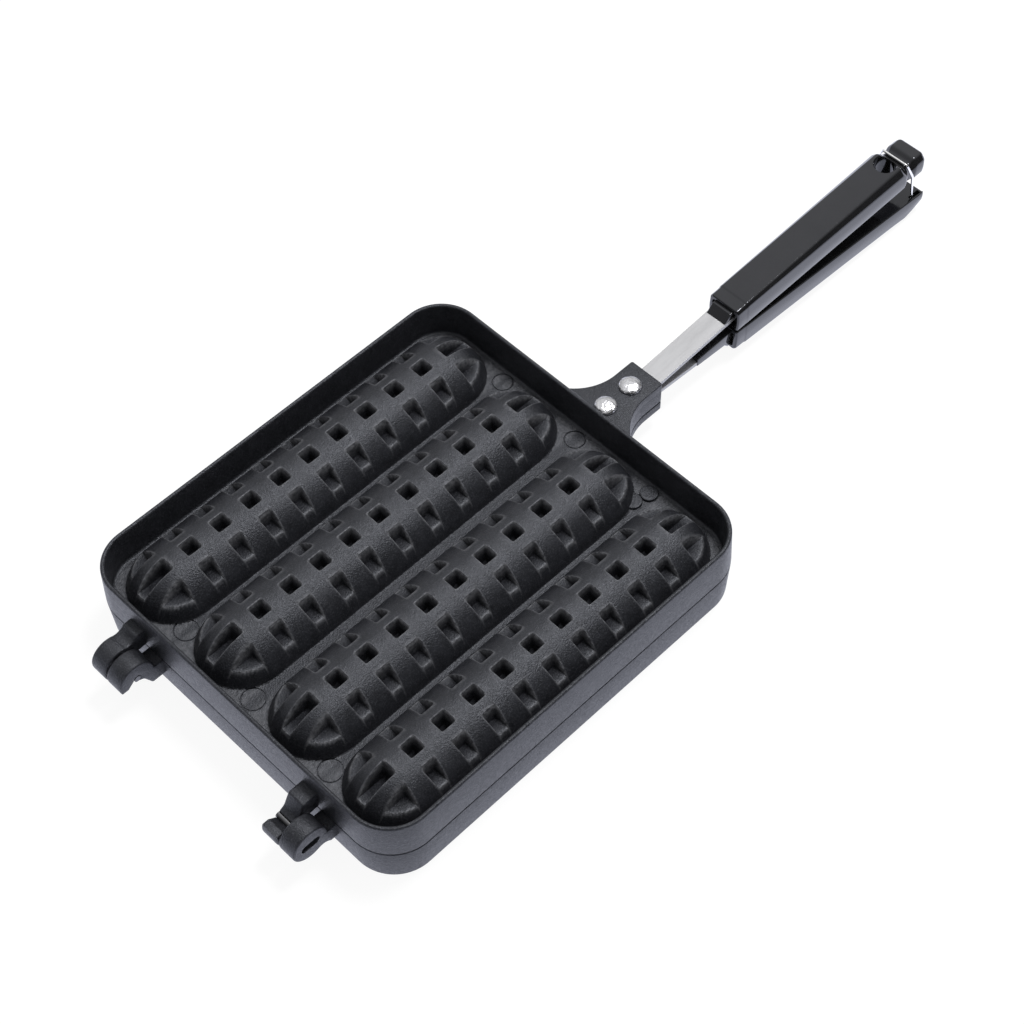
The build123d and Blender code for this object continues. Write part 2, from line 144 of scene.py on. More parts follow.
# Lug and rivets
lug_length = 31.3
lug_half_width = 8.0
lug_flare = 22.0
lug_tip = 0.9
lug_under = 3.2
lug_top = 7.5
lug_edge = 0.5
key_wall = 2.7
key_start = 6.5
key_drop = 2.9
key_edge = 0.5
weld_depth = 1.0
rivet_distances = (8.4, 21.8)
rivet_head_radius = 4.55
rivet_head_height = 2.1
rivet_head_rim = 0.25
rivet_shank_radius = 2.5
rivet_tail_radius = 3.5
rivet_tail_height = 1.1
rivet_tail_edge = 0.3
strap_thickness = 1.8

# Grips, by distance past the rim: a bar that tilts away from the parting plane, with sloped shoulders
grip_start = 74.5
grip_rear = 167.5
grip_gap = 0.5
grip_slope = 0.0564
grip_height = 11.1
front_section = (7.8, 9.85, 6.5)
rear_section = (8.75, 8.5, 6.08)
side_bulge = 0.3
bulge_share = 0.42
bulge_rounding = 3.0
base_rounding = 0.5
shoulder_rounding = 1.8
collar_end = 80.3
collar_step = 0.4
collar_narrowing = 0.2
tail_stations = (
    ((171.7, 174.0), (175.7, 177.4), (6.3, 7.1, 4.8, 14.95)),
    ((176.8, 177.4), (179.4, 179.4), (6.3, 7.2, 5.2, 13.5)),
    ((179.4, 179.0), (182.4, 181.4), (6.3, 8.0, 5.7, 15.45)),
)
tail_shoulder_drop = 2.6
front_round = 0.7
upper_end_round = 2.4
lower_end_round = 0.7
upper_tail_end = 188.0
lower_tail_end = 189.0
lower_belly = ((163.0, 16.62), (178.0, 15.1), (189.5, 10.3))
mouth_depth = 2.5
mouth_wall = 1.5
tongue_half_width = 4.75
tongue_outline = ((69.5, 4.6), (78.0, 4.6), (78.0, 9.6), (73.0, 9.6), (69.5, 5.9))
sleeve_outline = ((54.8, 1.4), (75.2, 1.0), (75.2, 6.8), (69.5, 6.45), (54.8, 5.25))
sleeve_half_width = 5.2
hanging_hole = 170.0
hanging_hole_radius = 4.55
hole_chamfer = 0.6
hole_chamfer_rise = 16.6
bail_slot_start = 181.65
bail_slot_stop = 187.8
bail_slot_row = 7.075
bail_slot_side = 0.925
bail_slot_top = 9.45

# Wire bail: its bar's place, then its corners by distance from the middle and share of the bail's height
wire_radius = pivot_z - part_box("latch_bail")[0][2] / mm
bail_bar = (rim_end + 176.5, parting + 15.75)
bail_corners = ((3.3, 0.0), (6.8, 0.0), (8.7, 0.78), (6.2, 1.0))
bail_bends = (0.8, 3.0, 1.2)

# Camera at the photograph's viewpoint: place, lens, and its directions right, down and ahead
camera_place = (-361.05, -340.4, 679.2)
camera_lens = 77.16
camera_rows = ((0.7094, -0.7046, -0.0156), (-0.5844, -0.5758, -0.5718), (0.3939, 0.4147, -0.8203))

# Floor and light, lengths in metres: a floor that partly glows, soft light, its glow in gloss, and a lamp
floor_reach = 4.0
floor_shade = 0.86
floor_glow = 0.86
floor_strength = 1.05
soft_light = 0.6
floor_tint = (1.3, 1.34, 1.56)
glow_towards = (0.2, 0.43, 0.88)
glow_strengths = (0.04, 1.08)
glow_span = (0.15, 1.0)
lamp_place = (0.38, -0.02, 1.2)
lamp_aim = (-0.08, 0, 0.03)
lamp_size = 0.4
lamp_power = 13.5


# Surfaces as grids of points

def grid_faces(rows, columns, rows_close=False, columns_close=False):
    """Quads of a grid: point (i, j) joined to (i, j + 1), (i + 1, j + 1) and (i + 1, j), as indices."""
    i = np.arange(rows if rows_close else rows - 1)[:, None]
    j = np.arange(columns if columns_close else columns - 1)[None, :]
    below, right = (i + 1) % rows, (j + 1) % columns
    corners = (i * columns + j, i * columns + right, below * columns + right, below * columns + j)
    return np.stack(np.broadcast_arrays(*corners), axis=-1).reshape(-1, 4)


def stacked(loops):
    """Closed shell from a stack of closed loops of points, with a flat cap on the first and the last."""
    loops = np.asarray(loops)
    rows, columns = loops.shape[:2]
    faces = grid_faces(rows, columns, columns_close=True).tolist()
    faces.append(list(range(columns)))
    faces.append(list(range((rows - 1) * columns, rows * columns)))
    return loops.reshape(-1, 3), faces


def inset_loop(loop, inset):
    """Closed loop moved inwards: a corner goes along its sides' normals by inset over 1 + their cosine."""
    side = np.roll(loop, -1, axis=0) - loop
    side /= np.linalg.norm(side, axis=1, keepdims=True)
    after = np.stack((-side[:, 1], side[:, 0]), axis=1)
    before = np.roll(after, 1, axis=0)
    cosine = (after * before).sum(axis=1, keepdims=True)
    return loop + inset * (after + before) / (1 + cosine)


def rounded_edge_stack(loop, low, high, edge, steps=4):
    """Heights and loops of a bar along a third direction, both edges quarter circles of radius edge."""
    turn = np.linspace(0, pi / 2, steps + 1)
    inset = edge * (1 - np.sin(turn))
    height = edge * (1 - np.cos(turn))
    insets = np.concatenate((inset, inset[::-1]))
    heights = np.concatenate((low + height, high - height[::-1]))
    return [(level, inset_loop(loop, amount)) for level, amount in zip(heights, insets)]


def arc(centre, radius, start, stop, steps):
    """Points of a circle about a centre from one angle to another, in degrees."""
    turn = np.radians(np.linspace(start, stop, steps + 1))
    return np.stack((centre[0] + radius * np.cos(turn), centre[1] + radius * np.sin(turn)), axis=1)


def bent_line(corners, radii, steps=8):
    """Open line through corners, each inner one rounded by an arc that touches both of its sides."""
    corners = [np.array(corner, dtype=float) for corner in corners]
    points = [corners[0][None]]
    for before, corner, after, radius in zip(corners, corners[1:], corners[2:], radii):
        back = (before - corner) / np.linalg.norm(before - corner)
        ahead = (after - corner) / np.linalg.norm(after - corner)
        half = np.arccos(np.clip(back @ ahead, -1, 1)) / 2
        middle = (back + ahead) / np.linalg.norm(back + ahead)
        centre = corner + middle * radius / np.sin(half)
        first = corner + back * radius / np.tan(half) - centre
        last = corner + ahead * radius / np.tan(half) - centre
        share = np.linspace(0, 1, steps + 1)[:, None]
        sweep = np.arccos(np.clip(first @ last / radius**2, -1, 1))
        turned = np.sin((1 - share) * sweep) * first + np.sin(share * sweep) * last
        points.append(centre + turned / np.sin(sweep))
    points.append(corners[-1][None])
    return np.concatenate(points)


def lathe(profile, centre, steps=48):
    """Closed solid of revolution about an upright axis from a profile of radius and height, bottom to top."""
    turn = np.linspace(0, 2 * pi, steps, endpoint=False)
    radius, height = profile[:, 0][:, None], profile[:, 1][:, None]
    x = centre[0] + radius * np.cos(turn)
    y = centre[1] + radius * np.sin(turn)
    return stacked(np.stack((x, y, np.broadcast_to(height, x.shape)), axis=-1))


def joined(*shells):
    """Several shells as one list of points and one of faces."""
    points, faces, count = [], [], 0
    for shell_points, shell_faces in shells:
        points.append(shell_points)
        faces += [[index + count for index in face] for face in shell_faces]
        count += len(shell_points)
    return np.concatenate(points), faces


def add_object(name, shell, scale=1):
    """Object from a shell's points and faces, its normals outwards, with its named numbers at its points."""
    points, faces, *values = shell
    mesh = bpy.data.meshes.new(name)
    mesh.from_pydata((np.asarray(points) * scale).tolist(), [], faces)
    for key, numbers in (values[0] if values else {}).items():
        data = mesh.attributes.new(key, "FLOAT", "POINT").data
        data.foreach_set("value", np.asarray(numbers, dtype=np.float32))
    work = bmesh.new()
    work.from_mesh(mesh)
    bmesh.ops.recalc_face_normals(work, faces=work.faces)
    work.to_mesh(mesh)
    work.free()
    made = bpy.data.objects.new(name, mesh)
    bpy.context.scene.collection.objects.link(made)
    return made


def add_piece(name, shell, body, material, node, sharp=35):
    """Piece from a shell in millimetres that rides on a body and stands for a CAD node."""
    piece = add_object(name, shell, mm)
    piece.data.shade_smooth()
    piece.data.set_sharp_from_angle(angle=radians(sharp))
    piece.data.materials.append(material)
    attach(piece, body)
    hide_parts(node)


def turned_over(shell):
    """A shell of the upper half turned half a turn about the parting line, which makes the lower half's."""
    points, *rest = shell
    return np.asarray(points) * (1, -1, -1) + (0, 0, 2 * parting), *rest


def as_drawn(shell):
    """A shell of the upper half as it is."""
    return shell


# Heights of a casting's two faces

def soft_lower(first, second, width):
    """The lower of two heights, with a parabola between them where they differ by less than a width."""
    share = np.clip(0.5 + (second - first) / (2 * width), 0, 1)
    return second + (first - second) * share - width * share * (1 - share)


def soft_upper(first, second, width):
    """The upper of two heights, blended the same way."""
    return -soft_lower(-first, -second, width)


def from_axis(x, y):
    """Level distance to the axis of the nearest rod, whose ends are round."""
    offset = np.minimum(*[np.abs(np.abs(y) - row) for row in hump_rows])
    return np.hypot(offset, np.maximum(np.abs(x) - hump_half_length, 0))


def rod_rise(distance, radius):
    """Rise of a rod at a level distance from its axis, and far below the parting plane past its side.

    It is the root of the radius squared less the distance squared, less how deep the axis lies.
    """
    height = np.sqrt(np.maximum(radius**2 - distance**2, 0))
    return height - hump_sink - np.where(distance > radius, radius, 0)


def hump_rise(distance):
    """A rod's height, then a quarter-like arc of radius hump_foot that touches both the rod and the web."""
    within = np.clip(distance, foot_start, foot_end)
    foot = web + hump_foot - np.sqrt(hump_foot**2 - (within - foot_end)**2)
    return np.where(distance < foot_start, rod_rise(distance, hump_radius), foot)


def pocket_rise(x, y, level, margin, sides):
    """Height of the lowest pocket, level over its floor and then up the drafted wall, and its slope."""
    offset = np.minimum(*[np.abs(np.abs(y) - row) for row in hump_rows])
    column = np.clip(np.round(x / pocket_pitch), -outer_column, outer_column)
    from_column = np.abs(x - column * pocket_pitch)
    end_middle = rim_length / 2 - (end_floor_start + end_floor_stop) / 2
    end_half = (end_floor_stop - end_floor_start) / 2
    from_end = np.abs(np.abs(x) - end_middle)
    side_middle = (side_start + side_end) / 2
    plans = [
        (from_column - crest_half, offset - crest_half),
        (from_end - end_half, offset - crest_half),
    ]
    if sides:
        across = np.abs(offset - side_middle) - (side_end - side_start) / 2
        plans += [(from_column - side_half, across), (from_end - end_half, across)]
    distances = [soft_upper(along, across, pocket_corner) for along, across in plans]
    outside = np.minimum.reduce(distances) - margin
    smooth = np.hypot(outside, floor_blend)
    return level + pocket_slope * (outside + smooth) / 2, pocket_slope * (1 + outside / smooth) / 2


def outer_face(x, y):
    """Rise of a casting's outside over its web and humps, how near it is to a pocket's lip, and how deep."""
    distance = from_axis(x, y)
    humps = hump_rise(distance)
    hump_slope = distance / np.sqrt(np.maximum(hump_radius**2 - distance**2, 1))
    pockets, steepness = pocket_rise(x, y, pocket_floor, 0, True)
    slopes = hump_slope + steepness
    rise = soft_lower(humps, pockets, lip_rounding * slopes)
    # How near a pocket's lip: the mask for the lighter lips, partly wear and partly painted highlight.
    lip = np.clip(1.1 - np.abs(humps - pockets) / (lip_wear_and_highlight_reach * slopes), 0, 1)
    return rise, {"lip": lip, "depth": np.clip((humps - rise) / full_depth, 0, 1)}


def mould_face(x, y):
    """Rise of the cooking side: a flat land, a mould under each hump and pegs under its crest pockets."""
    rods = rod_rise(from_axis(x, y), mould_radius)
    moulds = soft_upper(rods, np.full_like(x, land_recess), mould_blend)
    pegs, _ = pocket_rise(x, y, pocket_floor - peg_wall, peg_wall, False)
    return soft_lower(moulds, pegs, mould_blend)


def lines_about(centres, offsets, limit):
    """Grid lines at offsets on both sides of each centre, ending at a limit on both sides."""
    lines = np.concatenate([centre + sign * np.asarray(offsets) for centre in centres for sign in (-1, 1)])
    lines = np.unique(np.round(lines[np.abs(lines) < limit - 0.3], 4))
    lines = lines[np.concatenate(([True], np.diff(lines) > 0.05))]
    return np.concatenate(([-limit], lines, [limit]))


def snapped(x, y, radii, reach):
    """Grid points within a reach of a circle about a hump's end, moved onto it along their radius."""
    side = np.where(np.abs(y) < sum(hump_rows) / 2, hump_rows[0], hump_rows[1])
    across = y - np.sign(y) * side
    along = x - np.sign(x) * hump_half_length
    past = np.abs(x) > hump_half_length
    distance = np.maximum(np.hypot(across, along), 1e-6)
    for radius in radii:
        share = np.where(past & (np.abs(distance - radius) < reach), radius / distance - 1, 0)
        x, y = x + along * share, y + across * share
    return x, y


def grid_within(x_lines, y_lines, corner, radii, reach, height):
    """Height field over a rounded rectangle: a grid without the cells past its corners, and its border."""
    x, y = np.meshgrid(x_lines, y_lines, indexing="ij")
    x, y = snapped(x, y, radii, reach)
    past_x = np.maximum(np.abs(x) - (x_lines[-1] - corner), 0)
    past_y = np.maximum(np.abs(y) - (y_lines[-1] - corner), 0)
    outside = np.hypot(past_x, past_y) > corner + 1e-6
    outside |= (past_x > 0) & (past_y > 0) & (np.hypot(past_x, past_y) > corner - 0.2)
    faces = grid_faces(*x.shape)
    faces = faces[~outside.ravel()[faces].any(axis=1)]
    used, faces = np.unique(faces, return_inverse=True)
    faces = faces.reshape(-1, 4)
    corners_here = np.bincount(faces.ravel(), minlength=len(used))
    border = np.flatnonzero(corners_here < 4)
    x, y = x.ravel()[used], y.ravel()[used]
    border = border[np.argsort(np.arctan2(y[border], x[border]))]
    rise, values = height(x, y)
    return np.stack((x, y, rise), axis=-1), faces, border, values


def zipped(outer, inner, outer_points, inner_points):
    """Triangles between two closed loops in order of angle, each side joined to the other's nearest point."""
    outer_angle = np.arctan2(outer_points[:, 1], outer_points[:, 0])
    inner_angle = np.arctan2(inner_points[:, 1], inner_points[:, 0])
    outer_middle = (outer_angle + np.append(outer_angle[1:], outer_angle[0] + 2 * pi)) / 2
    inner_middle = (inner_angle + np.append(inner_angle[1:], inner_angle[0] + 2 * pi)) / 2
    near = np.searchsorted(inner_middle, outer_middle, side="right") % len(inner)
    far = np.searchsorted(outer_middle, inner_middle) % len(outer)
    first = np.stack((outer, np.roll(outer, -1), inner[near]), axis=1)
    second = np.stack((inner, np.roll(inner, -1), outer[far]), axis=1)
    return np.concatenate((first, second)).tolist()


def rim_outline():
    """Centres of the rim's corner arcs, or points between two of them, and the directions outwards."""
    middle = np.array((rim_length, rim_width)) / 2 - rim_corner
    corners = np.array(((1, 1), (-1, 1), (-1, -1), (1, -1))) * middle
    turn = np.radians(np.linspace(0, 90, 25))
    share = np.linspace(0, 1, 26)[1:-1, None]
    centres, outward = [], []
    for quarter, (corner, after) in enumerate(zip(corners, np.roll(corners, -1, axis=0))):
        angle = np.append(turn, np.full(len(share), pi / 2)) + quarter * pi / 2
        outward.append(np.stack((np.cos(angle), np.sin(angle)), axis=1))
        centres.append(np.broadcast_to(corner, (len(turn), 2)))
        centres.append(corner + share * (after - corner))
    centres, outward = np.concatenate(centres), np.concatenate(outward)
    points = centres + rim_corner * outward
    order = np.argsort(np.arctan2(points[:, 1], points[:, 0]))
    return centres[order], outward[order]


def inner_wall(rise):
    """How far the rim's inner wall stands in from the rim's outer edge at a rise."""
    return rim_thickness + (half_height - rise) * wall_slope


def rim_profile():
    """Inset and rise from the web's fillet up the inner wall, over the rim, down outside and to the land."""
    fillet_top = web + web_fillet
    fillet = arc((inner_wall(fillet_top) + web_fillet, fillet_top), web_fillet, 270, 180, 4)
    inner_edge = arc((inner_wall(half_height) - rim_edge, half_height - rim_edge), rim_edge, 0, 90, 4)
    outer_edge = arc((rim_edge, half_height - rim_edge), rim_edge, 90, 180, 4)
    foot = -(half_height - foot_edge) * wall_slope
    bottom_edge = arc((foot + foot_edge, land_gap + foot_edge), foot_edge, 180, 270, 3)
    land = [(land_width, land_gap)]
    return np.concatenate((fillet, inner_edge, outer_edge, bottom_edge, land))


def casting():
    """The pan of a casting as one closed shell: outer face, rim, land and cooking face, with its values."""
    lip_lines = (1.7, 2.0, 2.3, 2.6, 2.9, 3.15, 3.4, 3.7)
    pocket_lines = (0, *lip_lines, 7.1)
    flank = (7.15, 7.45, 7.75, 8.05, 8.45, 8.8, 9.4, 10.1, 10.9, 11.7, 12.5, 13.3, 14.0, exit_radius,
             15.1, 15.7, 16.3)
    foot_lines = (16.8, 17.2, foot_start, 17.63, 17.8, foot_end, 18.9)
    row_lines = (0, *lip_lines, 4.8, 6.0, *flank, *foot_lines)
    end_wall = np.linspace(66.8, 69.1, 8)
    columns = [column * pocket_pitch for column in range(-outer_column, outer_column + 1)]
    rows = [sign * row for row in hump_rows for sign in (-1, 1)]
    last_column = outer_column * pocket_pitch

    profile = rim_profile()
    edge_inset = profile[0, 0]
    x_limit, y_limit = rim_length / 2 - edge_inset, rim_width / 2 - edge_inset
    end_lines = np.concatenate(([65.0], end_wall, np.arange(69.6, x_limit - 0.3, 0.5)))
    x_lines = lines_about(columns, pocket_lines, last_column + pocket_lines[-1] + 0.4)[1:-1]
    x_lines = np.concatenate(([-x_limit], -end_lines[::-1], x_lines, end_lines, [x_limit]))
    y_lines = lines_about(rows, row_lines, y_limit)
    circles = (exit_radius, foot_start, foot_end)
    outer_points, outer_faces, outer_border, outer_values = grid_within(
        x_lines, y_lines, rim_corner - edge_inset, circles, 0.24, outer_face)
    points = [outer_points]
    faces = outer_faces.tolist()
    count = len(outer_points)

    centres, outward = rim_outline()
    loops = centres[None] + (rim_corner - profile[:, 0])[:, None, None] * outward[None]
    rises = np.broadcast_to(profile[:, 1][:, None, None], (*loops.shape[:2], 1))
    ring = np.concatenate((loops, rises), axis=-1)
    ring_index = np.arange(ring.shape[0] * ring.shape[1]).reshape(ring.shape[:2]) + count
    faces += (grid_faces(*ring.shape[:2], columns_close=True) + count).tolist()
    faces += zipped(ring_index[0], outer_border, ring[0], outer_points[outer_border])
    points.append(ring.reshape(-1, 3))
    count += ring_index.size

    peg_lines = (0, 1.7, 3.3, 3.6, 3.9, 5.6, 7.1)
    mould_lines = (0, 1.7, 3.3, 3.6, 3.9, 5.4, 7.0, 8.6, 10.0, 11.0, 11.5, mould_radius, 12.3, 14.0)
    mould_ends = np.concatenate((np.linspace(66.0, 75.5, 9), np.linspace(76.2, 78.6, 7), [80.5]))
    inset = land_width + 0.4
    x_limit, y_limit = rim_length / 2 - inset, rim_width / 2 - inset
    x_lines = lines_about(columns, peg_lines, last_column + peg_lines[-1] + 0.4)[1:-1]
    x_lines = np.concatenate(([-x_limit], -mould_ends[::-1], x_lines, mould_ends, [x_limit]))
    y_lines = lines_about(rows, mould_lines, y_limit)
    inner_points, inner_faces, inner_border, _ = grid_within(
        x_lines, y_lines, rim_corner - inset, (mould_radius,), 0.5, lambda x, y: (mould_face(x, y), {}))
    points.append(inner_points)
    faces += (inner_faces + count).tolist()
    faces += zipped(ring_index[-1], inner_border + count, ring[-1], inner_points[inner_border])

    points = np.concatenate(points) + (rim_middle, 0, parting)
    rest = np.zeros(len(points) - len(outer_points))
    return points, faces, {name: np.concatenate((numbers, rest)) for name, numbers in outer_values.items()}


# Hinge knuckles, drawn in the upright plane along the pan, with the hinge pin at the origin

def plain_outline():
    """A disc, then an arm that dips behind it, rises to a shoulder and ends in the casting's wall."""
    start = np.degrees(np.arcsin(arm_gap / knuckle_radius))
    disc = arc((0, 0), knuckle_radius, shoulder_turn, 360 + start, 44)
    corners = [(arm_end, shoulder_top), (shoulder_start, shoulder_top), shoulder_dip, disc[0]]
    shoulder = bent_line(corners, shoulder_bends)
    return np.concatenate((disc, [(arm_end, 2 * arm_gap)], shoulder[:-1]))


def hook_outline():
    """A disc and arm cut open down to the pin's seat, with a hollow slope on the arm's side and a low lip."""
    disc_start = 180 - np.degrees(np.arcsin(hook_lip / knuckle_radius))
    disc_stop = 360 + np.degrees(np.arcsin(arm_gap / knuckle_radius))
    disc = arc((0, 0), knuckle_radius, disc_start, disc_stop, 32)
    slope = bent_line([(arm_end, shoulder_top), (hook_start, shoulder_top), hook_dip, hook_seat], hook_bends)
    seat = arc((0, 0), pin_seat, 420, 180, 14)
    nose = arc((hook_nose, hook_lip - nose_radius), nose_radius, 30, 90, 3)
    return np.concatenate((disc, [(arm_end, 2 * arm_gap)], slope, seat, nose))


def across_pan(stack):
    """Loops drawn about the hinge pin, each at its place along Y, as points in the row frame."""
    return [np.stack((hinge_x + loop[:, 0], np.full(len(loop), level), parting + loop[:, 1]), axis=1)
            for level, loop in stack]


def plain_knuckle():
    """Rounded disc and arm, its outer end face sunk by a long slot with round ends."""
    outline = plain_outline()
    low, high = plain_row - knuckle_half_width, plain_row + knuckle_half_width
    stack = rounded_edge_stack(outline, low, high, knuckle_edge)
    turn = np.arctan2(outline[:, 1], outline[:, 0])
    straight = slot_half_length - slot_half_width
    side = np.minimum(slot_half_width / np.maximum(np.abs(np.sin(turn)), 1e-6), slot_half_length)
    past = np.abs(side * np.cos(turn)) > straight
    end = straight * np.abs(np.cos(turn))
    end = end + np.sqrt(np.maximum(end**2 - straight**2 + slot_half_width**2, 0))
    radius = np.where(past, end, side)
    slot = np.stack((radius * np.cos(turn), radius * np.sin(turn)), axis=1)
    face = stack[-1][0]
    stack += [(face, slot), (face - slot_depth, slot * slot_taper)]
    return stacked(across_pan(stack))


def hook_knuckle():
    """Rounded hook, on the other side of the pan."""
    low, high = -hook_row - knuckle_half_width, -hook_row + knuckle_half_width
    return stacked(across_pan(rounded_edge_stack(hook_outline(), low, high, knuckle_edge)))


# Lug and marks on the web

def at_levels(stack):
    """Plan outlines, each at its height, as loops of points."""
    return [np.column_stack((loop, np.full(len(loop), level))) for level, loop in stack]


def lug_side():
    """Right side of the lug's plan: a quarter circle out of the rim, a straight side and a rounded tip."""
    flare = arc((rim_end + lug_flare, lug_half_width + lug_flare), lug_flare, 180, 270, 20)
    tip = arc((rim_end + lug_length - lug_tip, lug_half_width - lug_tip), lug_tip, 90, 0, 5)
    return np.concatenate((flare, tip))


def lug():
    """Plate of the lug between its two rises, and the key wall that hangs from one of its sides."""
    side = lug_side()
    start = [(rim_end - weld_depth, side[0, 1])]
    half = np.concatenate((start, side))
    plan = np.concatenate((half * (1, -1), half[::-1]))
    plate = rounded_edge_stack(plan, parting + lug_under, parting + lug_top, lug_edge)
    key = side[side[:, 0] > rim_end + key_start]
    inner = np.stack((key[::-1, 0], np.maximum(key[::-1, 1] - key_wall, lug_half_width - key_wall)), axis=1)
    outline = np.concatenate((key, inner)) * (1, -1)
    wall = rounded_edge_stack(outline, parting - key_drop, parting + lug_under + weld_depth, key_edge)
    return joined(stacked(at_levels(plate)), stacked(at_levels(wall)))


def ring_grooves():
    """Rings whose section is a wedge: what the ejector pins' edges leave cut into the web."""
    section = np.array(ring_section)
    turn = np.linspace(0, 2 * pi, ring_steps, endpoint=False)[:, None]
    shells = []
    for x, y, radius in ring_marks:
        reach = radius + section[:, 0]
        ring = (reach * np.cos(turn) + x + rim_middle, reach * np.sin(turn) + y,
                np.broadcast_to(section[:, 1] + parting + web, (len(turn), len(section))))
        faces = grid_faces(ring_steps, len(section), True, True).tolist()
        shells.append((np.stack(ring, axis=-1).reshape(-1, 3), faces))
    return joined(*shells)


def buttons():
    """Two raised discs on the web by the lug, with rounded edges."""
    edge = arc((0, 0), button_edge, 0, 90, 3)
    shells = []
    for x, y, radius in button_marks:
        top = edge + (radius - button_edge, button_height - button_edge)
        middle = [(radius * 0.55, button_height), (0.2, button_height - button_dimple)]
        profile = np.concatenate(([(radius + 0.1, -button_root)], top, middle))
        shells.append(lathe(profile + (0, parting + web), (rim_middle + x, y)))
    return joined(*shells)


def carved(shell, cutter):
    """A shell with the cutter's solids taken out of it by a Boolean modifier; its values go with it."""
    made = [add_object("carving", solid) for solid in (shell, cutter)]
    cut = made[0].modifiers.new("cut", "BOOLEAN")
    cut.object, cut.operation, cut.solver = made[1], "DIFFERENCE", "MANIFOLD"
    mesh = bpy.data.meshes.new_from_object(made[0].evaluated_get(bpy.context.evaluated_depsgraph_get()))
    points = read_numbers(mesh.vertices, "co", 3).reshape(-1, 3)
    values = {name: read_numbers(mesh.attributes[name].data, "value", 1) for name in shell[2]}
    faces = [tuple(face.vertices) for face in mesh.polygons]
    for spare in [item.data for item in made] + [mesh]:
        bpy.data.meshes.remove(spare)
    return points, faces, values


def read_numbers(items, key, size):
    """One property of a mesh's items as a flat array."""
    numbers = np.empty(len(items) * size, dtype=np.float32)
    items.foreach_get(key, numbers)
    return numbers


# Grips, given as the upper one's

def grip_loop(section, shrink):
    """Upright section of a grip at a distance past the rim, drawn in towards its middle by a shrink."""
    bottom, top, half_side, shoulder, half_top = section
    height = top - bottom
    slope = np.hypot(half_side - half_top, height - shoulder)
    flat_side = half_side - side_bulge
    corners = [(0, 0), (flat_side, 0), (half_side, bulge_share * shoulder), (flat_side, shoulder),
               (half_top, height), (0, height)]
    round_off = min(shoulder_rounding, 0.55 * slope)
    right = bent_line(corners, (base_rounding, bulge_rounding * shoulder, round_off, round_off), 6)
    loop = np.concatenate((right, right[-2:0:-1] * (-1, 1)))
    middle = np.array((0, height / 2))
    loop = middle + (loop - middle) * (1 - shrink / half_side, 1 - 2 * shrink / height)
    return loop + (0, bottom)


def eased(value, start, stop):
    """0 before a start and 1 after a stop, with a smooth step between."""
    share = np.clip((value - start) / (stop - start), 0, 1)
    return share * share * (3 - 2 * share)


def grip_section(distance, lower):
    """Bottom, top, half width, shoulder's height and half width of the top, at a distance past the rim."""
    share = (distance - grip_start) / (grip_rear - grip_start)
    front, rear = np.array(front_section), np.array(rear_section)
    half_side, shoulder, half_top = front + share * (rear - front)
    bottom = grip_gap + (distance - grip_start) * grip_slope
    step = collar_step * (1 - eased(distance, collar_end - 0.9, collar_end + 0.5))
    top = bottom + grip_height - step
    narrowing = collar_narrowing * step
    section = np.array((bottom, top, half_side - narrowing, shoulder - step, half_top - narrowing))
    if lower:
        near, middle, far = [np.array(point) for point in lower_belly]
        chord, sag = far - near, middle - near
        across = np.array((-chord[1], chord[0]))
        centre = near + chord / 2 + across * (sag @ sag - sag @ chord) / (2 * sag @ across)
        radius = np.hypot(*(near - centre))
        if distance > near[0]:
            height = min(top, centre[1] + np.sqrt(radius**2 - (distance - centre[0])**2)) - bottom
            share = np.clip((height - shoulder) / (grip_height - shoulder), 0, 1)
            section[1] = bottom + height
            section[3] = min(shoulder, height - 0.5)
            section[4] = min(half_side - (half_side - half_top) * share, half_side - 0.3)
        return section
    for starts, stops, (tail_bottom, tail_side, tail_top, tail_rise) in tail_stations:
        tail_shoulder = tail_rise - tail_bottom - tail_shoulder_drop
        tail = np.array((tail_bottom, tail_rise, tail_side, tail_shoulder, tail_top))
        top_share, side_share = [eased(distance, start, stop) for start, stop in zip(starts, stops)]
        section += (tail - section) * (top_share, top_share, side_share, top_share, top_share)
    return section


def upright(distance, loop):
    """Section of a grip as points at a distance past the rim."""
    return np.column_stack((np.full(len(loop), rim_end + distance), loop[:, 0], parting + loop[:, 1]))


def slot_cutter(row):
    """Upright box that cuts the slot for one leg of the bail."""
    low, high = row - bail_slot_side, row + bail_slot_side
    start, stop = rim_end + bail_slot_start, rim_end + bail_slot_stop
    plan = np.array(((start, low), (stop, low), (stop, high), (start, high)))
    return stacked(at_levels([(parting - 1, plan), (parting + bail_slot_top, plan)]))


def hole_cutter():
    """Upright pin that cuts the hanging hole, wider at the top for the hole's chamfer."""
    wide = hanging_hole_radius + hole_chamfer
    profile = np.array(((hanging_hole_radius, 2), (hanging_hole_radius, hole_chamfer_rise),
                        (wide, hole_chamfer_rise + hole_chamfer), (wide, 20)))
    return lathe(profile + (0, parting), (rim_end + hanging_hole, 0))


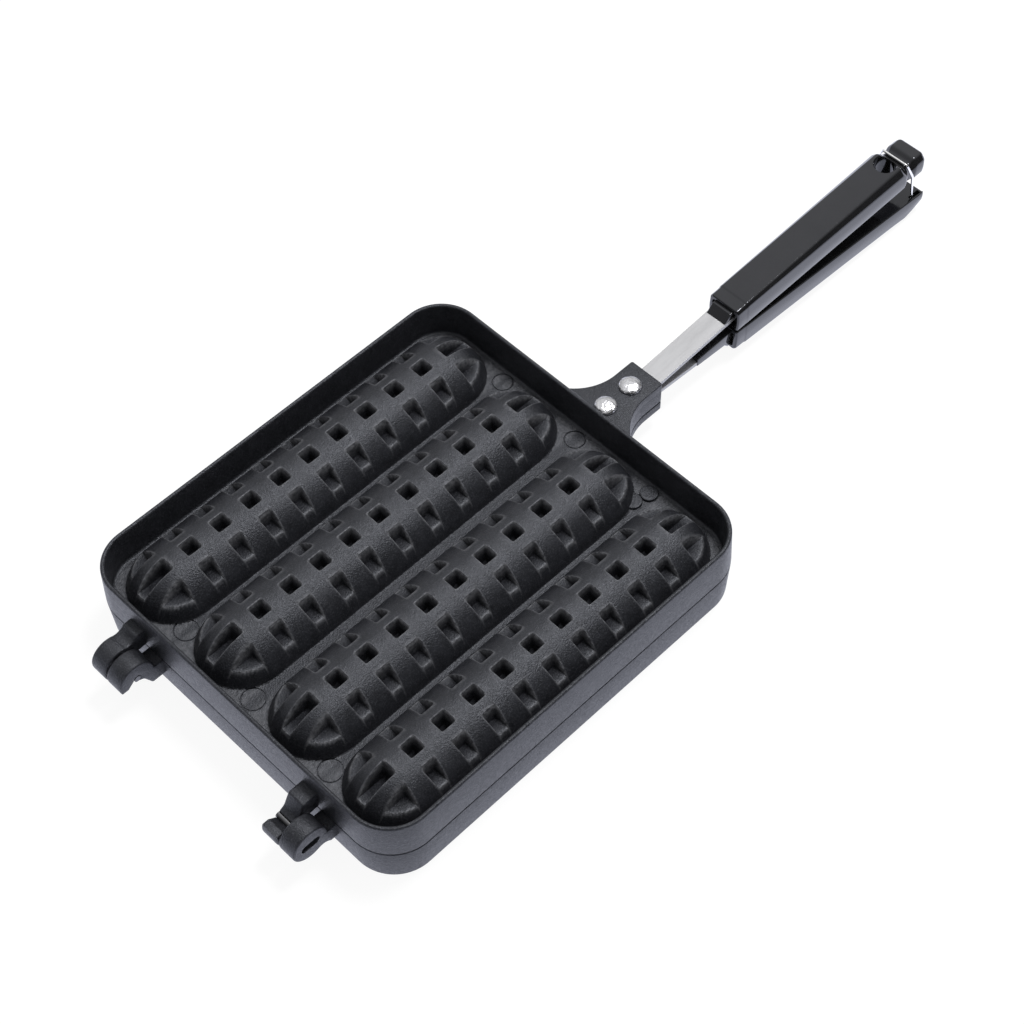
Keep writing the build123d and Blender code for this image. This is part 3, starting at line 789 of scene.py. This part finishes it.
def grip(lower):
    """Bar of a grip from its rounded front to its tail's rounded end, with the mouth and openings cut in."""
    end, end_round = (lower_tail_end, lower_end_round) if lower else (upper_tail_end, upper_end_round)
    turn = np.linspace(0, pi / 2, 7)
    front = [(grip_start + front_round * (1 - np.sin(angle)), front_round * (1 - np.cos(angle)))
             for angle in turn[::-1]]
    rear = [(end - end_round * (1 - np.sin(angle)), end_round * (1 - np.cos(angle))) for angle in turn]
    between = (77.5, *np.linspace(79.2, 81.0, 10), 84, *np.linspace(90, 160, 8),
               *np.linspace(163, end - end_round - 0.4, 48))
    stations = front + [(distance, 0) for distance in between] + rear
    bar = stacked([upright(distance, grip_loop(grip_section(distance, lower), shrink))
                   for distance, shrink in stations])
    mouth = grip_loop(grip_section(grip_start, lower), mouth_wall)
    cutters = [stacked([upright(distance, mouth) for distance in (grip_start - 1, grip_start + mouth_depth)])]
    cutters += [slot_cutter(-bail_slot_row), slot_cutter(bail_slot_row)] if lower else [hole_cutter()]
    return carved((*bar, {}), joined(*cutters))


def across_strap(outline, half_width, edge):
    """Bar across the strap from its outline by distance past the rim and rise, its edges rounded."""
    stack = rounded_edge_stack(np.array(outline) + (rim_end, parting), -half_width, half_width, edge)
    return stacked([np.column_stack((loop[:, 0], np.full(len(loop), row), loop[:, 1]))
                    for row, loop in stack])


# Rivets and bail

def rivet(distance):
    """Domed head on the lug, shank, and a flat tail under the strap, turned about its own axis."""
    dome = np.linspace(0, pi / 2, 13)[:-1]
    dome_height = rivet_head_height - rivet_head_rim
    dome_rise = lug_top + rivet_head_rim + dome_height * np.sin(dome)
    head = np.column_stack((rivet_head_radius * np.cos(dome), dome_rise))
    top = np.array(((0.15, lug_top + rivet_head_height),))
    tail_top = lug_under - strap_thickness
    tail_bottom = tail_top - rivet_tail_height
    shank = np.array(((rivet_tail_radius - rivet_tail_edge, tail_bottom),
                      (rivet_tail_radius, tail_bottom + rivet_tail_edge), (rivet_tail_radius, tail_top),
                      (rivet_shank_radius, tail_top), (rivet_shank_radius, lug_top),
                      (rivet_head_radius - 0.15, lug_top)))
    profile = np.concatenate((shank, head, top)) + (0, parting)
    return lathe(profile, (rim_end + distance, 0))


def tube(path, across, radius, steps=16):
    """Round wire along a flat path: circles spanned by the plane's normal and the path's own normal."""
    ahead = np.gradient(path, axis=0)
    ahead /= np.linalg.norm(ahead, axis=1, keepdims=True)
    normal = np.cross(ahead, across)
    turn = np.linspace(0, 2 * pi, steps, endpoint=False)[None, :, None]
    return stacked(path[:, None] + radius * (np.cos(turn) * across + np.sin(turn) * normal[:, None]))


def bail():
    """Bent wire: feet towards the middle, legs up past the grip's sides, shoulders, and a bar across."""
    up = np.array((bail_bar[0] - pivot_x, 0, bail_bar[1] - pivot_z))
    height = np.linalg.norm(up)
    up /= height
    right = [(row, share * height) for row, share in bail_corners]
    left = [(-row, level) for row, level in reversed(right)]
    flat = bent_line(right + left, bail_bends + bail_bends[::-1])
    keep = np.concatenate(([True], np.linalg.norm(np.diff(flat, axis=0), axis=1) > 1e-3))
    flat = flat[keep]
    path = np.array((pivot_x, 0, pivot_z)) + flat[:, :1] * (0, 1, 0) + flat[:, 1:] * up
    return tube(path, np.cross(up, (0, 1, 0)), wire_radius)


# Finishes

def new_finish(name, **settings):
    """Material with a Principled shader, whose plain sockets take the settings."""
    material = bpy.data.materials.new(name)
    material.use_nodes = True
    shader = material.node_tree.nodes["Principled BSDF"]
    for socket, value in settings.items():
        shader.inputs[socket.replace("_", " ")].default_value = value
    return material, material.node_tree, shader


def add_node(tree, kind, links=(), **settings):
    """Node with its properties or sockets set, and its inputs linked from the given outputs."""
    node = tree.nodes.new(kind)
    for key, value in settings.items():
        if hasattr(node, key):
            setattr(node, key, value)
        else:
            node.inputs[key.replace("_", " ")].default_value = value
    for socket, output in links:
        tree.links.new(output, node.inputs[socket])
    return node


def grain(tree, scale, detail=2.0, roughness=0.5, stretch=None):
    """Noise on the object's own coordinates, in patterns per metre, drawn out along X by a stretch."""
    place = add_node(tree, "ShaderNodeTexCoord").outputs["Object"]
    if stretch:
        place = add_node(tree, "ShaderNodeMapping", [("Vector", place)], Scale=stretch).outputs["Vector"]
    noise = add_node(tree, "ShaderNodeTexNoise", [("Vector", place)],
                     Scale=scale, Detail=detail, Roughness=roughness)
    return noise.outputs["Fac"]


def ramp(tree, value, low, high, start=0.0, stop=1.0):
    """A value spread from low to high between two stops."""
    node = add_node(tree, "ShaderNodeMapRange", [("Value", value)],
                    From_Min=start, From_Max=stop, To_Min=low, To_Max=high)
    return node.outputs["Result"]


def blend_colours(tree, factor, first, second):
    """Colour between two others."""
    node = add_node(tree, "ShaderNodeMix", data_type="RGBA")
    tree.links.new(factor, node.inputs[0])
    for socket, colour in ((6, first), (7, second)):
        if isinstance(colour, tuple):
            node.inputs[socket].default_value = (*colour, 1)
        else:
            tree.links.new(colour, node.inputs[socket])
    return node.outputs[2]


def fine_bump(tree, shader, height, strength, depth):
    """Relief of a given depth in millimetres, read by the shader."""
    bump = add_node(tree, "ShaderNodeBump", [("Height", height)], Strength=strength, Distance=depth * mm)
    tree.links.new(bump.outputs["Normal"], shader.inputs["Normal"])


def coated_casting():
    """Black non-stick coating with specks, its lips lighter as wear and as painted highlight, and painted
    shade deep in the pockets.
    """
    material, tree, shader = new_finish("coated_casting", IOR=1.58, Specular_Tint=(0.88, 0.91, 1, 1))
    mottle = ramp(tree, grain(tree, 240, 4), 0, 1, 0.35, 0.65)
    specks = ramp(tree, grain(tree, 2000, 2), 0, 1, 0.5, 0.72)
    base = blend_colours(tree, mottle, (0.007, 0.0074, 0.009), (0.013, 0.0136, 0.0165))
    base = blend_colours(tree, specks, base, (0.032, 0.033, 0.038))
    # Lighter lips: partly worn coating, partly a painted highlight along the pockets' edges.
    lip = add_node(tree, "ShaderNodeAttribute", attribute_name="lip").outputs["Fac"]
    patches = ramp(tree, grain(tree, 700, 3), 0.25, 0.9, 0.35, 0.65)
    lip_wear_and_highlight = add_node(tree, "ShaderNodeMath", [(0, lip), (1, patches)], operation="MULTIPLY").outputs[0]
    base = blend_colours(tree, lip_wear_and_highlight, base, (0.13, 0.132, 0.142))
    tree.links.new(base, shader.inputs["Base Color"])
    # Painted shade: the gloss fades out with depth, so the pockets render dark as if in shade.
    depth = add_node(tree, "ShaderNodeAttribute", attribute_name="depth").outputs["Fac"]
    tree.links.new(ramp(tree, grain(tree, 900, 3), 0.36, 0.48, 0.3, 0.7), shader.inputs["Roughness"])
    tree.links.new(ramp(tree, depth, 0.33, 0.03, 0.0, 0.6), shader.inputs["Specular IOR Level"])
    fine_bump(tree, shader, grain(tree, 1850, 2, 0.6), 1.0, 0.25)
    return material


def glossy_grip():
    """Black moulded grip: a hard gloss with a faint orange peel and fine scuffs in it."""
    material, tree, shader = new_finish("glossy_grip", IOR=1.54, Specular_Tint=(0.9, 0.92, 1, 1))
    base = blend_colours(tree, grain(tree, 120), (0.006, 0.006, 0.0065), (0.011, 0.011, 0.012))
    tree.links.new(base, shader.inputs["Base Color"])
    tree.links.new(ramp(tree, grain(tree, 700, 4, 0.6), 0.07, 0.18, 0.45, 0.75), shader.inputs["Roughness"])
    fine_bump(tree, shader, grain(tree, 320, 2), 0.2, 0.05)
    return material


def brushed_strap():
    """Rolled steel strip with its marks drawn out along it."""
    material, tree, shader = new_finish("brushed_strap", Metallic=0.7)
    streaks = grain(tree, 420, 4, 0.6, stretch=(0.06, 1, 1))
    base = blend_colours(tree, streaks, (0.28, 0.28, 0.288), (0.33, 0.33, 0.338))
    tree.links.new(base, shader.inputs["Base Color"])
    tree.links.new(ramp(tree, streaks, 0.34, 0.44, 0.3, 0.7), shader.inputs["Roughness"])
    fine_bump(tree, shader, grain(tree, 2200, 2, 0.5, stretch=(0.03, 1, 1)), 0.25, 0.04)
    return material


def bare_metal(name, colour, low, high, scale=2600, depth=0.006):
    """Bare metal with soft smears in its gloss, and a grain or dents of a scale and depth."""
    material, tree, shader = new_finish(name, Metallic=1.0)
    base = blend_colours(tree, grain(tree, 500, 3), tuple(0.86 * part for part in colour), colour)
    tree.links.new(base, shader.inputs["Base Color"])
    tree.links.new(ramp(tree, grain(tree, 900, 3), low, high, 0.35, 0.65), shader.inputs["Roughness"])
    fine_bump(tree, shader, grain(tree, scale, 2), 1.0, depth)
    return material


casting_finish = coated_casting()
grip_finish = glossy_grip()
strap_finish = brushed_strap()
rivet_finish = bare_metal("rivet_aluminium", (0.6, 0.6, 0.62), 0.16, 0.28, 420, 0.6)
wire_finish = bare_metal("bright_wire", (0.8, 0.8, 0.8), 0.12, 0.24)
pin_finish = bare_metal("dark_pin", (0.12, 0.12, 0.125), 0.3, 0.45)


# Pieces

def soften_edges(node, width, segments):
    """Rounds a CAD node's edges by modifiers: weld its triangles, join the flat ones, bevel what is left."""
    piece = frame["nodes"][node]
    weld = piece.modifiers.new("weld", "WELD")
    weld.merge_threshold = 1e-6
    flat = piece.modifiers.new("flat", "DECIMATE")
    flat.decimate_type = "DISSOLVE"
    flat.angle_limit = radians(1)
    bevel = piece.modifiers.new("edges", "BEVEL")
    bevel.width = width * mm
    bevel.segments = segments
    bevel.limit_method = "ANGLE"
    bevel.angle_limit = radians(28)
    bevel.harden_normals = True
    bevel.use_clamp_overlap = True


def paint(node, material):
    """Gives a CAD node a finish of this scene."""
    slots = frame["nodes"][node].data.materials
    slots.clear()
    slots.append(material)


cast_parts = (
    ("pan", carved(casting(), ring_grooves()), 34),
    ("plain_knuckle", plain_knuckle(), 35),
    ("hook_knuckle", hook_knuckle(), 35),
    ("lug", lug(), 35),
    ("buttons", buttons(), 35),
)
grip_tongue = across_strap(tongue_outline, tongue_half_width, 0.5)
grip_sleeve = across_strap(sleeve_outline, sleeve_half_width, 0.3)

for half, turn in (("upper", as_drawn), ("lower", turned_over)):
    body = f"{half}_half"
    plate_node, grip_node = f"{half}_plate", f"{half}_grip"
    for name, shell, sharp in cast_parts:
        add_piece(f"{half}_{name}", turn(shell), body, casting_finish, plate_node, sharp)
    for name, distance in zip(("inner", "outer"), rivet_distances):
        node = f"{half}_rivet_{name}"
        add_piece(f"{node}_dome", turn(rivet(distance)), body, rivet_finish, node)
    for name, shell in (("bar", grip(half == "lower")), ("tongue", grip_tongue)):
        add_piece(f"{grip_node}_{name}", turn(shell), body, grip_finish, grip_node, 40)
    soften_edges(f"{half}_strap", 0.25, 2)
    paint(f"{half}_strap", strap_finish)
    paint(f"{half}_grip_screw", pin_finish)
for node in ("left_hinge_pin", "right_hinge_pin"):
    paint(node, pin_finish)
add_piece("lower_grip_sleeve", turned_over(grip_sleeve), "lower_half", grip_finish,
          "lower_grip")
add_piece("bail_wire", bail(), "bail", wire_finish, "latch_bail", 80)


# Floor, light and camera

def add_floor():
    """Pale floor that shows white to the camera and in gloss, apart from the pan's shadow."""
    mesh = bpy.data.meshes.new("floor")
    corners = [(x * floor_reach, y * floor_reach, 0) for x, y in ((-1, -1), (1, -1), (1, 1), (-1, 1))]
    mesh.from_pydata(corners, [], [(0, 1, 2, 3)])
    material = bpy.data.materials.new("pale_floor")
    material.use_nodes = True
    tree = material.node_tree
    shader = tree.nodes["Principled BSDF"]
    shader.inputs["Base Color"].default_value = (floor_shade, floor_shade, floor_shade, 1)
    shader.inputs["Roughness"].default_value = 0.9
    rays = add_node(tree, "ShaderNodeLightPath").outputs
    tint = blend_colours(tree, rays["Is Camera Ray"], floor_tint, (1, 1, 1))
    glow = add_node(tree, "ShaderNodeEmission", [("Color", tint)], Strength=floor_strength)
    seen = add_node(tree, "ShaderNodeMath", [(0, rays["Is Camera Ray"]), (1, rays["Is Glossy Ray"])],
                    operation="MAXIMUM")
    share = ramp(tree, seen.outputs[0], 0.0, floor_glow)
    mix = add_node(tree, "ShaderNodeMixShader", [(0, share), (1, shader.outputs[0]), (2, glow.outputs[0])])
    tree.links.new(mix.outputs[0], tree.nodes["Material Output"].inputs["Surface"])
    mesh.materials.append(material)
    floor = bpy.data.objects.new("floor", mesh)
    bpy.context.scene.collection.objects.link(floor)


def add_world():
    """Soft even light, white to the camera; in gloss it grows from dim to white along a direction."""
    world = bpy.data.worlds.new("studio")
    bpy.context.scene.world = world
    world.use_nodes = True
    tree = world.node_tree
    background = tree.nodes["Background"]
    background.inputs["Color"].default_value = (1, 1, 1, 1)
    direction = add_node(tree, "ShaderNodeTexCoord").outputs["Generated"]
    towards = add_node(tree, "ShaderNodeVectorMath", [(0, direction)], operation="DOT_PRODUCT")
    towards.inputs[1].default_value = glow_towards
    glow = ramp(tree, towards.outputs["Value"], *glow_strengths, *glow_span)
    rays = add_node(tree, "ShaderNodeLightPath").outputs
    in_gloss = add_node(tree, "ShaderNodeMix", [(0, rays["Is Glossy Ray"]), (3, glow)])
    in_gloss.inputs[2].default_value = soft_light
    shown = add_node(tree, "ShaderNodeMix", [(0, rays["Is Camera Ray"]), (2, in_gloss.outputs[0])])
    shown.inputs[3].default_value = 1.0
    tree.links.new(shown.outputs[0], background.inputs["Strength"])


def add_lamp(name, place, aim, size, power):
    """Square area lamp at a place, in metres, facing a point."""
    light = bpy.data.lights.new(name, "AREA")
    light.size = size
    light.energy = power
    lamp = bpy.data.objects.new(name, light)
    lamp.location = place
    away = np.array(place) - np.array(aim)
    lamp.rotation_euler = (atan2(np.hypot(away[0], away[1]), away[2]), 0, atan2(away[0], -away[1]))
    bpy.context.scene.collection.objects.link(lamp)


def add_camera():
    """Camera at the photograph's viewpoint, its rows being right, down and forward in the row frame."""
    data = bpy.data.cameras.new("camera")
    data.lens = camera_lens
    data.sensor_width = 36
    data.clip_start = 0.01
    camera = bpy.data.objects.new("camera", data)
    right, down, ahead = [np.array(row) for row in camera_rows]
    matrix = np.eye(4)
    matrix[:3, :3] = np.stack((right, -down, -ahead), axis=1)
    matrix[:3, 3] = np.array(camera_place) * mm
    camera.matrix_world = Matrix(matrix.tolist())
    bpy.context.scene.collection.objects.link(camera)
    bpy.context.scene.camera = camera


add_floor()
add_world()
add_lamp("key", lamp_place, lamp_aim, lamp_size, lamp_power)
add_camera()
bpy.context.scene.view_settings.view_transform = "Standard"
